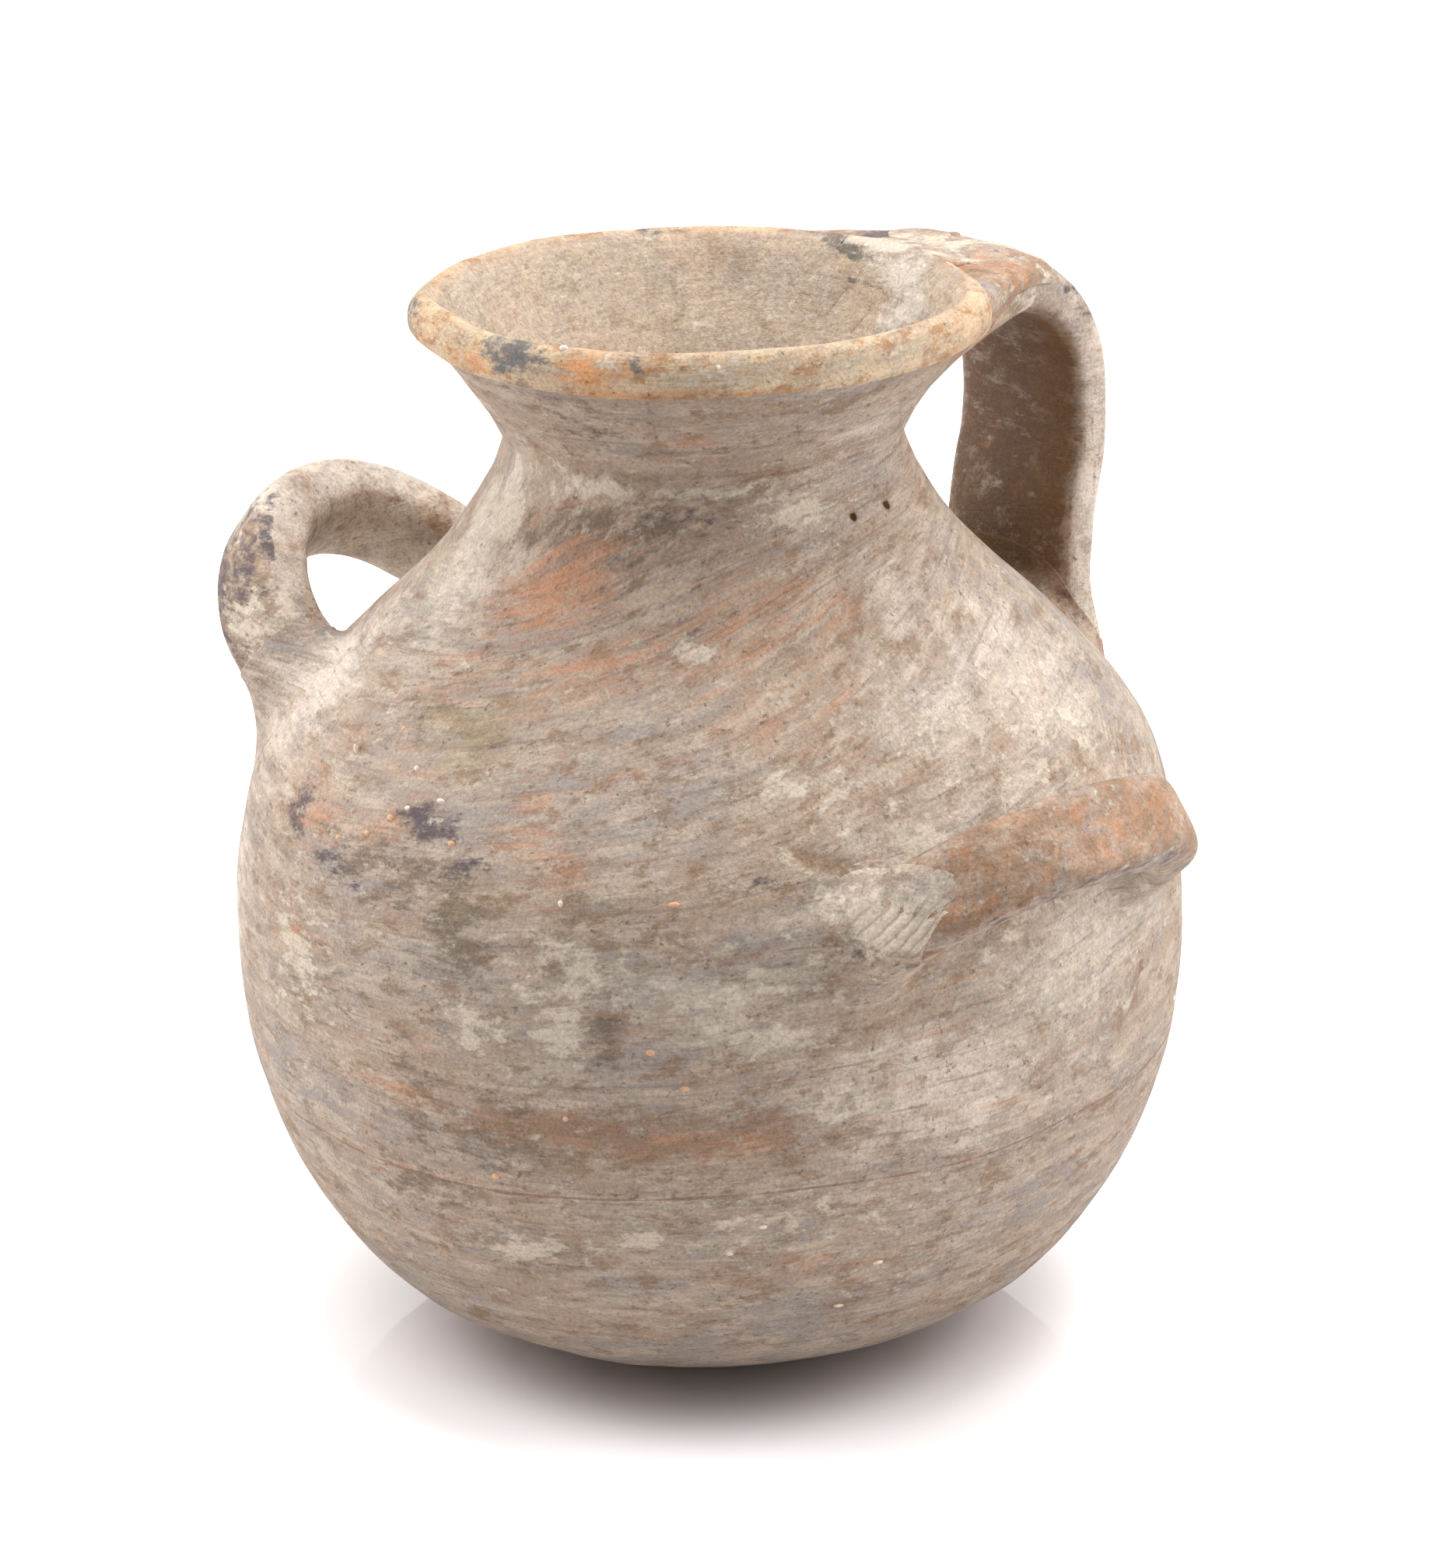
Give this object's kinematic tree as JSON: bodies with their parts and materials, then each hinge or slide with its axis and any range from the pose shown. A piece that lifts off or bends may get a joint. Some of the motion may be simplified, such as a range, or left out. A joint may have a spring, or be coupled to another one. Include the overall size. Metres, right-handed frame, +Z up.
{
  "type": "earthenware jar",
  "caption": "Round earthenware jar on a small flat base, with a flaring mouth, a strap handle from lip to shoulder and two side lifting loops.",
  "frame": {"origin": "centre of the small flat base, on its resting face", "axes": "+Z up through the mouth, +Y towards the strap handle, +X close to the lower lifting loop"},
  "size_m": [0.1903, 0.161, 0.182],
  "materials": {
    "body_clay": "matte",
    "mouth_clay": "matte",
    "rim_clay": "matte",
    "handle_clay": "matte",
    "luting_clay": "matte"
  },
  "bodies": {
    "root": {"base_disc": "body_clay", "lower_bowl": "body_clay", "upper_body": "body_clay", "neck_coil": "body_clay", "mouth": "mouth_clay", "rim_coil": "rim_clay", "strap_handle": "handle_clay", "strap_rim_lute": "luting_clay", "strap_shoulder_lute": "luting_clay", "strap_rim_smear": "luting_clay", "right_loop_handle": "handle_clay", "right_loop_front_lute": "luting_clay", "right_loop_back_lute": "luting_clay", "left_loop_handle": "handle_clay", "left_loop_back_lute": "luting_clay", "left_loop_front_lute": "luting_clay"}
  },
  "joints": []
}
